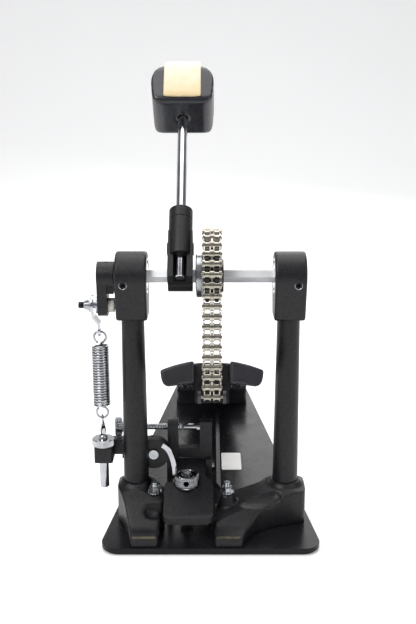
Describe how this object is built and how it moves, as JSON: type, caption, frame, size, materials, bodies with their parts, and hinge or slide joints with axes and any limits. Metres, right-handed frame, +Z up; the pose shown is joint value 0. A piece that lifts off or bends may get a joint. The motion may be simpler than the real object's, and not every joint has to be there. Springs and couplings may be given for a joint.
{
  "type": "bass drum pedal",
  "caption": "Chain-drive kick drum pedal with footboard, sprocket, felt beater, side return spring and hoop clamp on a long base plate.",
  "frame": {"origin": "on the floor under the axle, on the pedal's centre plane", "axes": "+X to the right seen from the drum, +Y from the drum to the player's heel, +Z up"},
  "size_m": [0.1901, 0.381, 0.3741],
  "materials": {
    "base_black": "gloss",
    "rubber": "matte",
    "cast_black": "textured matte",
    "chrome": "polished",
    "zinc": "satin",
    "nickel": "polished",
    "bearing_steel": "ground",
    "black_steel": "black oxide",
    "sprocket_black": "satin",
    "beater_plastic": "satin",
    "felt": "felt",
    "board_black": "satin",
    "spring_steel": "zinc plated"
  },
  "bodies": {
    "frame": {"base_plate": "base_black", "base_rubber": "rubber", "base_screws": "black_steel", "left_foot": "cast_black", "right_foot": "cast_black", "spur_nuts": "zinc", "left_post": "cast_black", "right_post": "cast_black", "left_housing": "cast_black", "right_housing": "cast_black", "bearing_outer_rings": "bearing_steel", "bearing_balls": "bearing_steel", "housing_set_screws": "black_steel", "spring_arm": "cast_black", "spring_arm_screws": "black_steel", "arm_boss_bolt": "zinc", "clamp_bracket": "cast_black", "jaw_pivot_pin": "zinc", "clamp_stop_pin": "chrome", "heel_plate": "board_black", "heel_screws": "zinc", "hinge_pin": "zinc"},
    "left_spur": {"left_spur": "zinc"},
    "right_spur": {"right_spur": "zinc"},
    "drive": {"hex_axle": "chrome", "bearing_inner_rings": "bearing_steel", "axle_set_screws": "black_steel", "sprocket": "sprocket_black", "sprocket_collar": "zinc", "chain_keeper_screw": "black_steel", "chain_wrap": "nickel", "beater_holder": "cast_black", "beater_key_bolt": "black_steel", "spring_rocker": "cast_black", "pivot_bolt": "zinc", "pivot_nut_and_washers": "zinc"},
    "beater_lock": {"memory_lock": "cast_black", "memory_lock_screw": "black_steel"},
    "beater": {"beater_rod": "chrome", "beater_head": "beater_plastic", "beater_felt": "felt"},
    "chain_1": {"chain_link_1": "nickel"},
    "chain_2": {"chain_link_2": "nickel"},
    "chain_3": {"chain_link_3": "nickel"},
    "chain_4": {"chain_fall": "nickel"},
    "hanger": {"spring_hanger": "chrome"},
    "adjuster": {"spring_adjust_rod": "chrome"},
    "adjuster_nut": {"spring_adjust_nut": "chrome"},
    "spring_lower": {"return_spring": "spring_steel"},
    "spring_upper": {"spring_top_loop": "spring_steel"},
    "hoop_jaw": {"clamp_jaw": "cast_black", "jaw_pad": "rubber", "clamp_bolt": "zinc", "clamp_lever": "chrome"},
    "jaw_nut": {"clamp_nut": "chrome"},
    "wing_screw": {"wing_bolt": "chrome"},
    "footboard": {"footboard": "board_black", "chain_clevis": "board_black", "clevis_screws": "zinc"}
  },
  "joints": [
    {"name": "axle_turn", "type": "hinge", "parent": "frame", "child": "drive", "pos_m": [0, 0, 0.211], "axis": [1, 0, 0], "range_deg": [0, 40], "stiffness_Nm_per_rad": 1, "springref_deg": -20.05},
    {"name": "board_tilt", "type": "hinge", "parent": "frame", "child": "footboard", "pos_m": [0.001, 0.255, 0.028], "axis": [1, 0, 0], "range_deg": [0, 4.75]},
    {"name": "chain_1_bend", "type": "hinge", "parent": "drive", "child": "chain_1", "pos_m": [0.001, -0.02639, 0.23315], "axis": [1, 0, 0], "range_deg": [-10.17, 0]},
    {"name": "chain_2_bend", "type": "hinge", "parent": "chain_1", "child": "chain_2", "pos_m": [0.001, -0.03079, 0.22646], "axis": [1, 0, 0], "range_deg": [-13.34, 0]},
    {"name": "chain_3_bend", "type": "hinge", "parent": "chain_2", "child": "chain_3", "pos_m": [0.001, -0.03353, 0.21895], "axis": [1, 0, 0], "range_deg": [-13.34, 0]},
    {"name": "chain_4_bend", "type": "hinge", "parent": "chain_3", "child": "chain_4", "pos_m": [0.001, -0.03445, 0.211], "axis": [1, 0, 0], "range_deg": [-6.67, 0]},
    {"name": "hanger_swing", "type": "hinge", "parent": "drive", "child": "hanger", "pos_m": [-0.0926, 0, 0.1873], "axis": [1, 0, 0], "range_deg": [-48.76, 0]},
    {"name": "adjuster_nut_turn", "type": "hinge", "parent": "frame", "child": "adjuster_nut", "pos_m": [-0.088, 0, 0.069], "axis": [0, 0, 1], "range_deg": [0, 720.5]},
    {"name": "adjuster_slide", "type": "slide", "parent": "frame", "child": "adjuster", "axis": [0, 0, 1], "range_m": [0, 0.002]},
    {"name": "spring_swing", "type": "hinge", "parent": "adjuster", "child": "spring_lower", "pos_m": [-0.088, 0, 0.0928], "axis": [1, 0, 0], "range_deg": [-8.76, 0]},
    {"name": "spring_stretch", "type": "slide", "parent": "spring_lower", "child": "spring_upper", "axis": [0, 0, 1], "range_m": [0, 0.0068]},
    {"name": "beater_height", "type": "slide", "parent": "drive", "child": "beater_lock", "axis": [0, 0.6691, 0.7431], "range_m": [0, 0.012]},
    {"name": "beater_turn", "type": "hinge", "parent": "beater_lock", "child": "beater", "pos_m": [-0.0235, -0.01011, 0.2201], "axis": [0, 0.6691, 0.7431], "range_deg": [0, 180]},
    {"name": "jaw_tilt", "type": "hinge", "parent": "frame", "child": "hoop_jaw", "pos_m": [-0.0178, 0.016, 0.044], "axis": [1, 0, 0], "range_deg": [-6, 8]},
    {"name": "jaw_nut_turn", "type": "hinge", "parent": "hoop_jaw", "child": "jaw_nut", "pos_m": [-0.0197, -0.012, 0.0396], "axis": [0, 0, 1], "continuous": true},
    {"name": "wing_bolt_turn", "type": "hinge", "parent": "frame", "child": "wing_screw", "pos_m": [-0.06, 0.017, 0.078], "axis": [1, 0, 0], "continuous": true},
    {"name": "left_spur_lift", "type": "slide", "parent": "frame", "child": "left_spur", "axis": [0, 0, 1], "range_m": [0, 0.006]},
    {"name": "right_spur_lift", "type": "slide", "parent": "frame", "child": "right_spur", "axis": [0, 0, 1], "range_m": [0, 0.006]}
  ],
  "couplings": [
    {"joint": "board_tilt", "follows": "axle_turn", "ratio": 0.1163},
    {"joint": "chain_1_bend", "follows": "axle_turn", "ratio": -0.25417},
    {"joint": "chain_2_bend", "follows": "axle_turn", "ratio": -0.33333},
    {"joint": "chain_3_bend", "follows": "axle_turn", "ratio": -0.33333},
    {"joint": "chain_4_bend", "follows": "axle_turn", "ratio": -0.16667},
    {"joint": "hanger_swing", "follows": "axle_turn", "ratio": -1.2165},
    {"joint": "spring_swing", "follows": "axle_turn", "ratio": -0.21645},
    {"joint": "spring_stretch", "follows": "axle_turn", "m_per_rad": 0.0095941},
    {"joint": "adjuster_nut_turn", "follows": "adjuster_slide", "rad_per_m": 6283.2}
  ]
}
